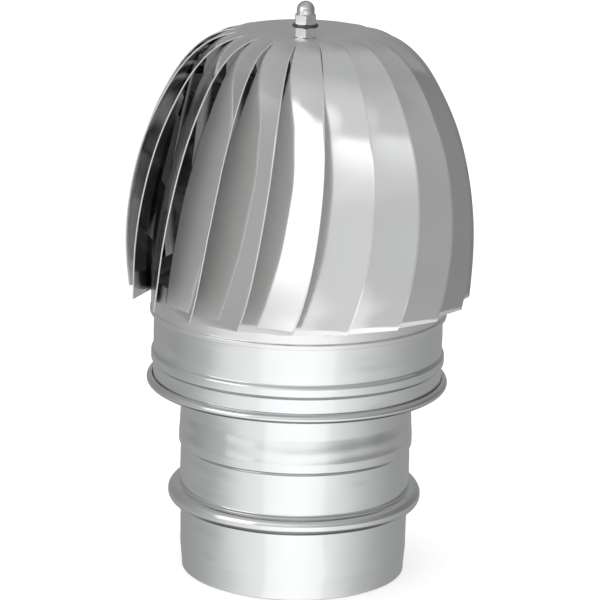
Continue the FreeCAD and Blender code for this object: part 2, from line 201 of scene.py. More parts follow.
def arc_path(pts, closed=False, step=9.0, grow=None):
    """Points of a filleted (r, z, fillet) path; arcs get even steps."""
    out = []
    n = len(pts)
    for i in range(n):
        if not closed and i in (0, n - 1):
            out.append((pts[i][0], pts[i][1]))
            continue
        a, p, b = pts[(i - 1) % n], pts[i], pts[(i + 1) % n]
        f = p[2]
        ux, uz = p[0] - a[0], p[1] - a[1]
        vx, vz = b[0] - p[0], b[1] - p[1]
        lu, lv = math.hypot(ux, uz), math.hypot(vx, vz)
        ux, uz, vx, vz = ux / lu, uz / lu, vx / lv, vz / lv
        cross = ux * vz - uz * vx
        turn = math.atan2(cross, ux * vx + uz * vz)
        if f < 1e-6 or abs(turn) < 1e-4:
            out.append((p[0], p[1]))
            continue
        run_len = f * math.tan(abs(turn) / 2)
        side = 1.0 if turn > 0 else -1.0
        sx, sz = p[0] - ux * run_len, p[1] - uz * run_len
        cx, cz = sx - side * uz * f, sz + side * ux * f
        k = max(3, int(math.ceil(abs(math.degrees(turn)) / step)))
        for j in range(k + 1):
            t = turn * j / k
            dx, dz = sx - cx, sz - cz
            out.append((cx + dx * math.cos(t) - dz * math.sin(t), cz + dx * math.sin(t) + dz * math.cos(t)))
    return out


def offset_path(pts, d):
    out = []
    n = len(pts)
    dirs = []
    for a, b in zip(pts, pts[1:]):
        size = math.hypot(b[0] - a[0], b[1] - a[1])
        dirs.append(((b[0] - a[0]) / size, (b[1] - a[1]) / size))
    for i, (r, z, f) in enumerate(pts):
        u = dirs[max(0, i - 1)]
        v = dirs[min(n - 2, i)]
        turn = math.atan2(u[0] * v[1] - u[1] * v[0], u[0] * v[0] + u[1] * v[1])
        k = math.tan(turn / 2)
        f2 = max(0.0, f - d if turn > 0 else f + d) if f > 0 else 0.0
        out.append((r - d * u[1] - d * k * u[0], z + d * u[0] - d * k * u[1], f2))
    return out


def dense(points, longest):
    """Adds points on long runs, so that shading and slight waves follow the sheet."""
    out = []
    n = len(points)
    for i in range(n):
        a, b = points[i], points[(i + 1) % n]
        out.append(a)
        size = math.hypot(b[0] - a[0], b[1] - a[1])
        k = int(size // longest)
        for j in range(1, k + 1):
            t = j / (k + 1)
            out.append((a[0] + (b[0] - a[0]) * t, a[1] + (b[1] - a[1]) * t))
    return out


def sheet_loop(path, t, edge=0.22):
    """Closed section of a bent sheet with eased cut edges."""
    inner = offset_path(path, t)
    loop = list(path) + inner[::-1]
    n = len(path)
    fixed = []
    for i, (r, z, f) in enumerate(loop):
        fixed.append((r, z, edge if i in (0, n - 1, n, 2 * n - 1) else f))
    return dense(arc_path(fixed, closed=True), 2.0)


def lathe(name, loop, material, segs=240, wave=None):
    """Turns a closed (r, z) loop round the axis."""
    verts, faces = [], []
    m = len(loop)
    for i in range(segs):
        a = 2 * math.pi * i / segs
        for r, z in loop:
            rr = r + (wave(a, r, z) if wave else 0.0)
            verts.append((rr * math.sin(a), -rr * math.cos(a), z))
    for i in range(segs):
        i2 = (i + 1) % segs
        for j in range(m):
            j2 = (j + 1) % m
            faces.append((i * m + j, i2 * m + j, i2 * m + j2, i * m + j2))
    return make_object(name, verts, faces, material)


# ---------------------------------------------------------------- materials
def steel(name, color, rough, wave=0.02, wave_scale=9.0, grain=0.015, grain_dir=(1.0, 1.0, 14.0), smudge=0.05,
          metal=1.0, crown=0.0, deep=None, rubbed=None, lines_in=0.03):
    """Bright sheet steel: slow hollows, fine rolling lines, uneven haze, and a satin crown."""
    mat = bpy.data.materials.new(name)
    mat.use_nodes = True
    nt = mat.node_tree
    nt.nodes.clear()
    out = nt.nodes.new("ShaderNodeOutputMaterial")
    bsdf = nt.nodes.new("ShaderNodeBsdfPrincipled")
    nt.links.new(bsdf.outputs["BSDF"], out.inputs["Surface"])
    bsdf.inputs["Metallic"].default_value = metal
    coord = nt.nodes.new("ShaderNodeTexCoord")

    # slow colour drift, a touch warmer where handled
    drift = nt.nodes.new("ShaderNodeTexNoise")
    drift.inputs["Scale"].default_value = 14.0
    drift.inputs["Detail"].default_value = 4.0
    nt.links.new(coord.outputs["Object"], drift.inputs["Vector"])
    ramp = nt.nodes.new("ShaderNodeValToRGB")
    ramp.color_ramp.elements[0].position = 0.3
    ramp.color_ramp.elements[1].position = 0.7
    ramp.color_ramp.elements[0].color = (color[0] * 0.965, color[1] * 0.96, color[2] * 0.95, 1)
    ramp.color_ramp.elements[1].color = (*color, 1)
    nt.links.new(drift.outputs["Fac"], ramp.inputs["Fac"])
    nt.links.new(ramp.outputs["Color"], bsdf.inputs["Base Color"])

    # rolling lines, long one way and fine the other
    mapping = nt.nodes.new("ShaderNodeMapping")
    mapping.inputs["Scale"].default_value = grain_dir
    nt.links.new(coord.outputs["Object"], mapping.inputs["Vector"])
    lines = nt.nodes.new("ShaderNodeTexNoise")
    lines.inputs["Scale"].default_value = 190.0
    lines.inputs["Detail"].default_value = 3.0
    nt.links.new(mapping.outputs["Vector"], lines.inputs["Vector"])

    # haze: roughness moves with smudges and lines
    haze = nt.nodes.new("ShaderNodeTexNoise")
    haze.inputs["Scale"].default_value = 26.0
    haze.inputs["Detail"].default_value = 6.0
    haze.inputs["Roughness"].default_value = 0.6
    nt.links.new(coord.outputs["Object"], haze.inputs["Vector"])
    hz = nt.nodes.new("ShaderNodeMapRange")
    hz.inputs["From Min"].default_value = 0.35
    hz.inputs["From Max"].default_value = 0.75
    hz.inputs["To Min"].default_value = rough
    hz.inputs["To Max"].default_value = rough + smudge
    nt.links.new(haze.outputs["Fac"], hz.inputs["Value"])
    ln = nt.nodes.new("ShaderNodeMath")
    ln.operation = "MULTIPLY_ADD"
    ln.inputs[1].default_value = lines_in
    nt.links.new(lines.outputs["Fac"], ln.inputs[0])
    nt.links.new(hz.outputs["Result"], ln.inputs[2])
    rough_out = ln.outputs["Value"]
    if crown:
        # rubbed satin round the axis, fading out down the blades
        flat = nt.nodes.new("ShaderNodeVectorMath")
        flat.operation = "MULTIPLY"
        flat.inputs[1].default_value = (1.0, 1.0, 0.0)
        nt.links.new(coord.outputs["Object"], flat.inputs[0])
        far = nt.nodes.new("ShaderNodeVectorMath")
        far.operation = "LENGTH"
        nt.links.new(flat.outputs["Vector"], far.inputs[0])
        fade = nt.nodes.new("ShaderNodeMapRange")
        fade.interpolation_type = "SMOOTHSTEP"
        fade.inputs["From Min"].default_value = 0.030
        fade.inputs["From Max"].default_value = 0.078
        fade.inputs["To Min"].default_value = crown
        fade.inputs["To Max"].default_value = 0.0
        nt.links.new(far.outputs["Value"], fade.inputs["Value"])
        both = nt.nodes.new("ShaderNodeMath")
        both.operation = "ADD"
        nt.links.new(rough_out, both.inputs[0])
        nt.links.new(fade.outputs["Result"], both.inputs[1])
        rough_out = both.outputs["Value"]
    if rubbed:
        # duller where each blade slid under its neighbour in the press
        uv = nt.nodes.new("ShaderNodeSeparateXYZ")
        nt.links.new(coord.outputs["UV"], uv.inputs[0])
        slide = nt.nodes.new("ShaderNodeMapRange")
        slide.interpolation_type = "SMOOTHSTEP"
        slide.inputs["From Min"].default_value = rubbed[0]
        slide.inputs["From Max"].default_value = rubbed[1]
        slide.inputs["To Min"].default_value = rubbed[2]
        slide.inputs["To Max"].default_value = 0.0
        nt.links.new(uv.outputs["X"], slide.inputs["Value"])
        dulled = nt.nodes.new("ShaderNodeMath")
        dulled.operation = "ADD"
        nt.links.new(rough_out, dulled.inputs[0])
        nt.links.new(slide.outputs["Result"], dulled.inputs[1])
        rough_out = dulled.outputs["Value"]
    if deep:
        # pale and dull along the free edge; deeper under the next blade the base colour is darkened as painted shade
        # of the gap, and the sheet turns bright-drawn
        uv = nt.nodes.new("ShaderNodeSeparateXYZ")
        nt.links.new(coord.outputs["UV"], uv.inputs[0])
        depth = nt.nodes.new("ShaderNodeMapRange")
        depth.interpolation_type = "SMOOTHSTEP"
        depth.inputs["From Min"].default_value = deep[0]
        depth.inputs["From Max"].default_value = deep[1]
        nt.links.new(uv.outputs["X"], depth.inputs["Value"])
        # painted shade: the base colour is mixed towards the dark deep colour deeper in the gap under the next blade
        painted_gap_shade = nt.nodes.new("ShaderNodeMix")
        painted_gap_shade.data_type = "RGBA"
        painted_gap_shade.inputs["A"].default_value = (*deep[2], 1)
        nt.links.new(depth.outputs["Result"], painted_gap_shade.inputs["Factor"])
        nt.links.new(ramp.outputs["Color"], painted_gap_shade.inputs["B"])
        nt.links.new(painted_gap_shade.outputs["Result"], bsdf.inputs["Base Color"])
        dull = nt.nodes.new("ShaderNodeMapRange")
        dull.inputs["To Min"].default_value = deep[3] / rough
        dull.inputs["To Max"].default_value = 1.0
        nt.links.new(depth.outputs["Result"], dull.inputs["Value"])
        film = nt.nodes.new("ShaderNodeMapRange")
        film.inputs["To Min"].default_value = 1.0
        film.inputs["To Max"].default_value = metal
        nt.links.new(depth.outputs["Result"], film.inputs["Value"])
        less = nt.nodes.new("ShaderNodeMath")
        less.operation = "MULTIPLY"
        nt.links.new(rough_out, less.inputs[0])
        nt.links.new(dull.outputs["Result"], less.inputs[1])
        # close to a mirror when seen along the sheet
        weight = nt.nodes.new("ShaderNodeLayerWeight")
        gloss = nt.nodes.new("ShaderNodeMapRange")
        gloss.interpolation_type = "SMOOTHSTEP"
        gloss.inputs["From Min"].default_value = 0.32
        gloss.inputs["From Max"].default_value = 0.54
        gloss.inputs["To Min"].default_value = 1.0
        gloss.inputs["To Max"].default_value = 0.12
        nt.links.new(weight.outputs["Facing"], gloss.inputs["Value"])
        along = nt.nodes.new("ShaderNodeMath")
        along.operation = "MULTIPLY"
        nt.links.new(less.outputs["Value"], along.inputs[0])
        nt.links.new(gloss.outputs["Result"], along.inputs[1])
        rough_out = along.outputs["Value"]
        glint = nt.nodes.new("ShaderNodeMapRange")
        glint.interpolation_type = "SMOOTHSTEP"
        glint.inputs["From Min"].default_value = 0.36
        glint.inputs["From Max"].default_value = 0.54
        nt.links.new(weight.outputs["Facing"], glint.inputs["Value"])
        bare = nt.nodes.new("ShaderNodeMath")
        bare.operation = "MAXIMUM"
        nt.links.new(film.outputs["Result"], bare.inputs[0])
        nt.links.new(glint.outputs["Result"], bare.inputs[1])
        nt.links.new(bare.outputs["Value"], bsdf.inputs["Metallic"])
    nt.links.new(rough_out, bsdf.inputs["Roughness"])

    # slow hollows in the sheet, then the fine lines
    slow = nt.nodes.new("ShaderNodeTexNoise")
    slow.inputs["Scale"].default_value = wave_scale
    slow.inputs["Detail"].default_value = 1.5
    nt.links.new(coord.outputs["Object"], slow.inputs["Vector"])
    b1 = nt.nodes.new("ShaderNodeBump")
    b1.inputs["Strength"].default_value = wave
    b1.inputs["Distance"].default_value = 0.02
    nt.links.new(slow.outputs["Fac"], b1.inputs["Height"])
    b2 = nt.nodes.new("ShaderNodeBump")
    b2.inputs["Strength"].default_value = grain
    b2.inputs["Distance"].default_value = 0.0004
    nt.links.new(lines.outputs["Fac"], b2.inputs["Height"])
    nt.links.new(b1.outputs["Normal"], b2.inputs["Normal"])
    nt.links.new(b2.outputs["Normal"], bsdf.inputs["Normal"])
    return mat


def polymer(name, color):
    mat = bpy.data.materials.new(name)
    mat.use_nodes = True
    nt = mat.node_tree
    bsdf = nt.nodes["Principled BSDF"]
    coord = nt.nodes.new("ShaderNodeTexCoord")
    noise = nt.nodes.new("ShaderNodeTexNoise")
    noise.inputs["Scale"].default_value = 900.0
    noise.inputs["Detail"].default_value = 3.0
    nt.links.new(coord.outputs["Object"], noise.inputs["Vector"])
    ramp = nt.nodes.new("ShaderNodeValToRGB")
    ramp.color_ramp.elements[0].color = (color[0] * 0.8, color[1] * 0.8, color[2] * 0.8, 1)
    ramp.color_ramp.elements[1].color = (color[0] * 1.2, color[1] * 1.2, color[2] * 1.2, 1)
    nt.links.new(noise.outputs["Fac"], ramp.inputs["Fac"])
    nt.links.new(ramp.outputs["Color"], bsdf.inputs["Base Color"])
    rr = nt.nodes.new("ShaderNodeMapRange")
    rr.inputs["To Min"].default_value = 0.4
    rr.inputs["To Max"].default_value = 0.6
    nt.links.new(noise.outputs["Fac"], rr.inputs["Value"])
    nt.links.new(rr.outputs["Result"], bsdf.inputs["Roughness"])
    return mat


dome_mat = steel("dome_steel", (0.87, 0.87, 0.87), 0.055, wave=0.010, wave_scale=7.0, grain=0.0,
                 grain_dir=(8.0, 8.0, 1.0), smudge=0.04, metal=0.95, crown=0.30, rubbed=(0.36, 0.58, 0.11), lines_in=0.0)
# the inside's dark deep colour is painted shade in the gaps under the next blade
inner_mat = steel("dome_steel_inside", (0.97, 0.97, 0.97), 0.68, wave=0.010, wave_scale=7.0, grain=0.0,
                  grain_dir=(8.0, 8.0, 1.0), smudge=0.04, metal=0.34, deep=(0.26, 0.40, (0.24, 0.236, 0.23), 0.04),
                  lines_in=0.0)
cut_mat = steel("cut_edge", (0.93, 0.93, 0.93), 0.42, wave=0.0, wave_scale=50.0, grain=0.05,
                grain_dir=(3.0, 3.0, 3.0), smudge=0.10, metal=0.6)
neck_mat = steel("neck_steel", (0.85, 0.855, 0.86), 0.085, wave=0.012, wave_scale=11.0, grain=0.012,
                 grain_dir=(1.0, 1.0, 9.0), smudge=0.05)
bracket_mat = steel("bracket_steel", (0.62, 0.62, 0.61), 0.28, wave=0.02, wave_scale=30.0, grain=0.05,
                    grain_dir=(1.0, 9.0, 9.0), smudge=0.12)
bolt_mat = steel("bolt_steel", (0.84, 0.835, 0.82), 0.06, wave=0.02, wave_scale=120.0, grain=0.02,
                 grain_dir=(2.0, 2.0, 2.0), smudge=0.08, lines_in=0.02)
race_mat = steel("race_steel", (0.74, 0.74, 0.75), 0.06, wave=0.01, wave_scale=200.0, grain=0.02,
                 grain_dir=(1.0, 1.0, 8.0), smudge=0.05)
clip_mat = steel("clip_steel", (0.16, 0.16, 0.165), 0.32, wave=0.02, wave_scale=200.0, grain=0.06,
                 grain_dir=(3.0, 3.0, 3.0), smudge=0.15)
cage_mat = polymer("cage_polymer", (0.03, 0.03, 0.032))

# ---------------------------------------------------------------- dome: crown and blades, one sheet
W_COLS = [0.0, 0.03, 0.14, 0.28, 0.42, 0.56, 0.70, 0.84, 0.965, 1.0]
COLS, ROWS = len(W_COLS) - 1, 84
BURR = 0.16


def blade_rows():
    rows = []
    for i in range(ROWS + 1):
        u = i / ROWS
        rows.append(0.55 * u + 0.45 * u * u if i else 0.0)
    return rows


S_ROWS = blade_rows()


def blade_point(s, w):
    """Outer face at running length s; w goes from tucked (0) to free edge (1)."""
    (rt, at, zt), (rf, af, zf) = blade_edges(s)
    flat = polar(rt, at, zt) * (1 - w) + polar(rf, af, zf) * w
    k = min(1.0, s / 0.05)
    k = k * k * (3 - 2 * k)
    if k < 1.0:
        bent = polar(rt + (rf - rt) * w, at + (af - at) * w, zt + (zf - zt) * w)
        flat = bent * (1 - k) + flat * k
    return flat


def blade_grid():
    h = 1.5e-3
    ws = W_COLS
    outer, inner = [], []
    for s in S_ROWS:
        ro, ri = [], []
        for w in ws:
            p = blade_point(s, w)
            ds = blade_point(min(1.0, s + h), w) - blade_point(max(0.0, s - h), w)
            dw = blade_point(s, min(1.0, w + 0.05)) - blade_point(s, max(0.0, w - 0.05))
            n = np.cross(ds, dw)
            n /= np.linalg.norm(n)
            if np.dot(n, np.array([p[0], p[1], 60.0])) < 0:
                n = -n
            if s == 0.0:
                n = np.array([0.0, 0.0, 1.0])
            burr = BURR * min(1.0, s / 0.03) if w == 1.0 else 0.0
            ro.append(p + n * burr * 0.4)
            ri.append(p - n * (BLADE + burr * 0.6))
        outer.append(ro)
        inner.append(ri)
    # a rounded cut edge runs midway between the faces, a little proud
    def rim(col, side):
        out = []
        for i in range(len(S_ROWS)):
            mid = 0.5 * (outer[i][col] + inner[i][col])
            away = outer[i][col] - outer[i][col - side]
            out.append(mid + away / np.linalg.norm(away) * 0.12)
        return out
    return outer, inner, rim(0, -1), rim(COLS, 1)


def rotate_z(p, deg):
    a = math.radians(deg)
    c, s = math.cos(a), math.sin(a)
    return (p[0] * c - p[1] * s, p[0] * s + p[1] * c, p[2])


def build_dome():
    outer, inner, rim_t, rim_f = blade_grid()
    verts, faces, marks, across = [], [], [], []

    def add(p, w=1.0, run_s=0.0):
        verts.append(tuple(p))
        across.append((w, run_s))
        return len(verts) - 1

    def face(*ids, kind=0):
        faces.append(ids)
        marks.append(kind)

    # crown rings, from the bolt hole to the rim; the last ring is the blades' first row
    line = arc_path([(ROD_R + 0.2, DISH_Z, 0), (10.5, DISH_Z, 14.0), (APEX_R, APEX_Z, 25.0),
                     (CROWN_R, CROWN_Z, 0)], step=2.0)

    def crown_top(r):
        return float(np.interp(r, [p[0] for p in line], [p[1] for p in line]))

    rads = [4.2, 4.6, 7.0, 9.0, 10.0, 11.0, 12.0, 14.0, 17.0, 20.0, 24.0, 28.0, 32.0, 34.3, 35.5, 36.7, 37.9,
            39.1, 40.3, 41.7, 42.7]
    azs = []
    root = outer[0]
    for k in range(BLADES):
        for j in range(COLS + 1):
            p = rotate_z(root[j], PITCH * k)
            azs.append(math.atan2(p[0], -p[1]))
    n = len(azs)
    top, bot = [], []
    for r in rads:
        top.append([add((r * math.sin(a), -r * math.cos(a), crown_top(r))) for a in azs])
        bot.append([add((r * math.sin(a), -r * math.cos(a), crown_top(r) - BLADE)) for a in azs])
    blade_o, blade_i, bt, bf = [], [], [], []
    for k in range(BLADES):
        blade_o.append([[add(rotate_z(p, PITCH * k), w, s) for w, p in zip(W_COLS, row)]
                        for s, row in zip(S_ROWS, outer)])
        blade_i.append([[add(rotate_z(p, PITCH * k), w, s) for w, p in zip(W_COLS, row)]
                        for s, row in zip(S_ROWS, inner)])
        bt.append([add(rotate_z(p, PITCH * k), 0.0, s) for s, p in zip(S_ROWS, rim_t)])
        bf.append([add(rotate_z(p, PITCH * k), 1.0, s) for s, p in zip(S_ROWS, rim_f)])
    top.append([blade_o[k][0][j] for k in range(BLADES) for j in range(COLS + 1)])
    bot.append([blade_i[k][0][j] for k in range(BLADES) for j in range(COLS + 1)])
    for i in range(len(top) - 1):
        for j in range(n):
            j2 = (j + 1) % n
            face(top[i][j], top[i + 1][j], top[i + 1][j2], top[i][j2])
            face(bot[i][j], bot[i][j2], bot[i + 1][j2], bot[i + 1][j], kind=1)
    for j in range(n):
        j2 = (j + 1) % n
        face(top[0][j], top[0][j2], bot[0][j2], bot[0][j])
    for k in range(BLADES):
        o, i_, t, f = blade_o[k], blade_i[k], bt[k], bf[k]
        for i in range(ROWS):
            for j in range(COLS):
                face(o[i][j], o[i + 1][j], o[i + 1][j + 1], o[i][j + 1])
                face(i_[i][j], i_[i][j + 1], i_[i + 1][j + 1], i_[i + 1][j], kind=1)
            face(o[i][COLS], o[i + 1][COLS], f[i + 1], f[i], kind=2)
            face(f[i], f[i + 1], i_[i + 1][COLS], i_[i][COLS], kind=2)
            face(o[i][0], t[i], t[i + 1], o[i + 1][0], kind=2)
            face(t[i], i_[i][0], i_[i + 1][0], t[i + 1], kind=2)
        for j in range(COLS):
            face(o[ROWS][j], i_[ROWS][j], i_[ROWS][j + 1], o[ROWS][j + 1], kind=2)
        face(o[ROWS][COLS], i_[ROWS][COLS], f[ROWS], kind=2)
        face(o[ROWS][0], t[ROWS], i_[ROWS][0], kind=2)
        # end of the slit to the next blade
        o2, i2, t2 = blade_o[(k + 1) % BLADES], blade_i[(k + 1) % BLADES], bt[(k + 1) % BLADES]
        face(o[0][COLS], f[0], i_[0][COLS], i2[0][0], t2[0], o2[0][0])
    return make_object("dome", verts, faces, dome_mat, marks=marks, more=(inner_mat, cut_mat), across=across)


dome = build_dome()
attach(dome, "head")
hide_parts("rotor_crown", "rotor_blades")

# ---------------------------------------------------------------- skirt ring and neck sheets
ring_path = [(RING_R + 0.6, RING_LOW, 0), (RING_R + 0.6, RING_LOW + 2.8, 0.9), (RING_R, RING_LOW + 3.6, 0.9),
             (RING_R, RING_HIGH, 0)]
ring = lathe("skirt_ring", sheet_loop(ring_path, 0.6), dome_mat)
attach(ring, "head")
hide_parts("rotor_ring")


def hand_formed(seed):
    """Slight unevenness of rolled sheet, in mm: long swells round it and shallow bands up it."""
    def wave(a, r, z):
        w = 0.10 * math.sin(5 * a + 1.9 * seed + 0.021 * z) + 0.07 * math.sin(9 * a + 4.1 * seed - 0.05 * z)
        w += 0.045 * math.sin(14 * a + 0.7 * seed + 0.09 * z) + 0.02 * math.sin(23 * a + 2.3 * seed - 0.13 * z)
        bend = z + 2.2 * math.sin(2 * a + seed) + 1.1 * math.sin(5 * a + 2.0 * seed)
        w += 0.030 * math.sin(bend / 2.3 + seed) + 0.022 * math.sin(bend / 1.35 + 2.7 * seed)
        return w
    return wave


pipe_path = [
    (SPIGOT_TIP_R, 0.0, 0), (SPIGOT_TIP_R, 2.0, 15), (SPIGOT_R, SPIGOT_TAPER, 20), (SPIGOT_R, BEAD_LOW - 0.3, 1.2),
    (BEAD_R, BEAD_LOW, 5.0), (BEAD_R, BEAD_HIGH, 5.0), (PIPE_R + 0.1, BEAD_HIGH + 0.3, 1.0),
    (PIPE_R - 0.05, 65.5, 3), (PIPE_R - 0.3, SWAGE_LOW - 2.0, 1.2), (SWAGE_R, SWAGE_LOW, 2.4),
    (SWAGE_R, SWAGE_HIGH, 24), (PIPE_R, SWAGE_HIGH + 16.0, 40), (PIPE_R, PIPE_TOP, 0)]
pipe = lathe("flue_tube", sheet_loop(pipe_path, SHEET), neck_mat, wave=hand_formed(1.0))
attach(pipe, "neck")
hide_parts("spigot_pipe")

plate_path = [
    (PIPE_R, PLATE_Z + 9.0, 0), (PIPE_R, PLATE_Z, 1.6), (RIM_R, PLATE_Z, 2.9),
    (RIM_R, RIM_TOP, 2.8), (COLLAR_R + 0.8, RIM_TOP, 0)]
plate = lathe("base_rim", sheet_loop(plate_path, SHEET), neck_mat)
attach(plate, "neck")
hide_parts("base_plate")

foot_z = PLATE_Z + 2 * SHEET
collar_path = [
    (COLLAR_R + 1.25, foot_z, 0), (COLLAR_R + 0.2, foot_z, 0.3),
    (COLLAR_R + 0.2, COLLAR_SWAGE_LOW - 1.8, 1.2), (COLLAR_SWAGE_R, COLLAR_SWAGE_LOW, 2.2),
    (COLLAR_SWAGE_R, COLLAR_SWAGE_HIGH, 2.0), (COLLAR_R + 0.1, COLLAR_SWAGE_HIGH + 1.8, 1.2),
    (COLLAR_R, COLLAR_TOP, 0)]
collar = lathe("collar", sheet_loop(collar_path, SHEET), neck_mat, wave=hand_formed(2.0))
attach(collar, "neck")
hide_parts("collar_shell")

# ---------------------------------------------------------------- nuts, top washer and spindle
def hex_outline(af, turn, ease=0.45):
    """Points round a hexagon with eased corners, as (azimuth, radius)."""
    def corner(k, t):
        far = (af / 2 - ease) / math.cos(math.radians(30.0))
        mid, tip = math.radians(turn + 60.0 * k), math.radians(turn + 60.0 * k + t)
        return (far * math.sin(mid) + ease * math.sin(tip), far * math.cos(mid) + ease * math.cos(tip))
    pts = []
    for k in range(6):
        pts += [corner(k, t) for t in (-30.0, -18.0, -6.0, 6.0, 18.0, 30.0)]
        a, b = corner(k, 30.0), corner(k + 1, -30.0)
        pts += [(a[0] + (b[0] - a[0]) * u, a[1] + (b[1] - a[1]) * u) for u in (0.05, 0.2, 0.4, 0.6, 0.8, 0.95)]
    return [(math.degrees(math.atan2(x, y)), math.hypot(x, y)) for x, y in pts]


def ring_mesh(name, rings, material, low=None, high=None):
    """Closed surface over rings of points; ends close on the axis at heights low and high, or ring to ring."""
    n = len(rings[0])
    verts = [tuple(p) for ring in rings for p in ring]
    faces = []
    last = len(rings) - 1
    for i in range(last if low is not None else last + 1):
        a, b = i * n, ((i + 1) % (last + 1)) * n
        for j in range(n):
            j2 = (j + 1) % n
            faces.append((a + j, a + j2, b + j2, b + j))
    if low is not None:
        for z, base in ((low, 0), (high, last * n)):
            verts.append((0.0, 0.0, z))
            tip = len(verts) - 1
            for j in range(n):
                faces.append((tip, base + j, base + (j + 1) % n))
    return make_object(name, verts, faces, material)


FACE_R = NUT_AF / 2 * 0.98
SLOPE = math.tan(math.radians(30.0))


def hex_rings(z0, turn):
    """Rings from a nut's lower bore edge up over its chamfers and flats to its upper face."""
    line = hex_outline(NUT_AF, turn)

    def circle(r, z):
        return [polar(r, a, z) for a, _ in line]

    def side(z, up, back, shift):
        out = []
        for a, r in line:
            q = max(FACE_R + 0.01, r - back)
            out.append(polar(q, a, z + up * ((q - FACE_R) * SLOPE + shift)))
        return out

    top = z0 + NUT_H
    rings = [circle(ROD_R + 0.02, z0 + 0.5), circle(ROD_R + 0.45, z0), circle(ROD_R + 0.6, z0),
             circle(FACE_R - 0.15, z0), circle(FACE_R, z0),
             side(z0, 1, 0.08, 0.0), side(z0, 1, 0.0, 0.02), side(z0, 1, 0.0, 0.12),
             side(z0, 1, 0.0, 1.6), side(top, -1, 0.0, 1.6),
             side(top, -1, 0.0, 0.12), side(top, -1, 0.0, 0.02), side(top, -1, 0.08, 0.0),
             circle(FACE_R, top), circle(FACE_R - 0.15, top)]
    return rings, circle


def hex_nut(name, node_name, z0, turn):
    rings, circle = hex_rings(z0, turn)
    top = z0 + NUT_H
    rings += [circle(ROD_R + 0.6, top), circle(ROD_R + 0.45, top), circle(ROD_R + 0.02, top - 0.5)]
    obj = ring_mesh(name, rings, bolt_mat)
    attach(obj, "head")
    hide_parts(node_name)
    return obj


def acorn_nut(z0):
    rings, circle = hex_rings(z0, NUT_TURN)
    top, ball = z0 + NUT_H, z0 + ACORN_H - ACORN_CAP_R
    rings = [circle(1.5, z0 + 11.4), circle(ROD_R + 0.02, z0 + 10.5)] + rings
    for r, z in ((6.0, top), (ACORN_CAP_R + 0.14, top + 0.03), (ACORN_CAP_R + 0.04, top + 0.10),
                 (ACORN_CAP_R, top + 0.24), (ACORN_CAP_R, top + 0.6), (ACORN_CAP_R, ball - 0.6), (ACORN_CAP_R, ball)):
        rings.append(circle(r, z))
    for deg in range(8, 89, 8):
        t = math.radians(deg)
        rings.append(circle(ACORN_CAP_R * math.cos(t), ball + ACORN_CAP_R * math.sin(t)))
    obj = ring_mesh("domed_nut", rings, bolt_mat, z0 + 12.0, z0 + ACORN_H)
    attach(obj, "head")
    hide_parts("acorn_nut")
    return obj


washer_z = DISH_Z + NUT_H
hex_nut("nut_on_crown", "crown_nut", DISH_Z, NUT_TURN)
acorn_nut(washer_z + WASHER_T)
hex_nut("nut_under_crown", "crown_under_nut", 344.4, 20.0)
hex_nut("nut_on_bearing", "shoulder_nut", 179.6, 10.0)
hex_nut("nut_below", "retaining_nut", 84.9, 0.0)
disc = arc_path([(ROD_R + 0.05, washer_z, 0.2), (TOP_WASHER_R, washer_z, 0.45),
                 (TOP_WASHER_R, washer_z + WASHER_T, 0.45), (ROD_R + 0.05, washer_z + WASHER_T, 0.2)], closed=True)
spring_disc = lathe("dark_washer", disc, clip_mat, segs=96)
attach(spring_disc, "head")
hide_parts("top_washer")


def thread_depth(z):
    """Depth of the thread at height z: at both ends and over the upper bearing, with short run-outs."""
    deep = 0.0
    for lo, hi in ((ROD_LOW - 5.0, 91.0), (179.0, 200.0), (328.0, 380.0)):
        deep = max(deep, min(1.0, (z - lo) / 1.5, (hi - z) / 1.5))
    return 0.58 * max(0.0, deep)


def build_spindle():
    pitch, n, top = 1.25, 40, DISH_Z + NUT_H + WASHER_T + 9.5
    zs, z = [], ROD_LOW
    while z < top - 1e-6:
        zs.append(z)
        z += pitch / 8 if thread_depth(z) > 0 or thread_depth(z + 2.0) > 0 else 2.0
    zs.append(top)
    rings = []
    for z in zs:
        edge = ROD_R - 0.02 - max(0.0, 0.8 - (z - ROD_LOW), 0.8 - (top - z))
        ring = []
        for j in range(n):
            turn = 360.0 * j / n
            t = abs(2.0 * ((z / pitch - turn / 360.0) % 1.0) - 1.0)
            cut = min(1.0, max(0.0, (t - 0.14) / 0.62))
            ring.append(polar(min(edge, ROD_R - 0.02 - thread_depth(z) * cut), turn, z))
        rings.append(ring)
    obj = ring_mesh("threaded_spindle", rings, bolt_mat, ROD_LOW, top)
    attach(obj, "head")
    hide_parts("spindle")


build_spindle()

# ---------------------------------------------------------------- carried-over CAD pieces
MATS = {
    "bracket_steel": bracket_mat, "fastener_steel": bolt_mat, "bearing_steel": race_mat,
    "spring_steel": clip_mat, "cage_polymer": cage_mat, "dome_sheet": dome_mat, "neck_sheet": neck_mat}
slots = {p["node"]: p["material_slot"] for p in frame["record"]["subparts"]}
for node, obj in frame["nodes"].items():
    mat = MATS[slots[node]]
    if not obj.material_slots:
        obj.data.materials.append(mat)
    for slot in obj.material_slots:
        slot.material = mat


# ---------------------------------------------------------------- floor, light, camera
def make_floor():
    mesh = bpy.data.meshes.new("floor")
    r = 14.0
    n = 96
    verts = [(r * math.cos(2 * math.pi * i / n), r * math.sin(2 * math.pi * i / n), -0.0004) for i in range(n)]
    mesh.from_pydata(verts, [], [list(range(n))])
    obj = bpy.data.objects.new("floor", mesh)
    bpy.context.scene.collection.objects.link(obj)
    mat = bpy.data.materials.new("floor_white")
    mat.use_nodes = True
    bsdf = mat.node_tree.nodes["Principled BSDF"]
    bsdf.inputs["Base Color"].default_value = (0.86, 0.86, 0.86, 1)
    bsdf.inputs["Roughness"].default_value = 0.9
    bsdf.inputs["Specular IOR Level"].default_value = 0.0
    bsdf.inputs["Emission Color"].default_value = (1, 1, 1, 1)
    bsdf.inputs["Emission Strength"].default_value = 0.5
    mesh.materials.append(mat)
    obj.visible_glossy = False
    return obj


make_floor()

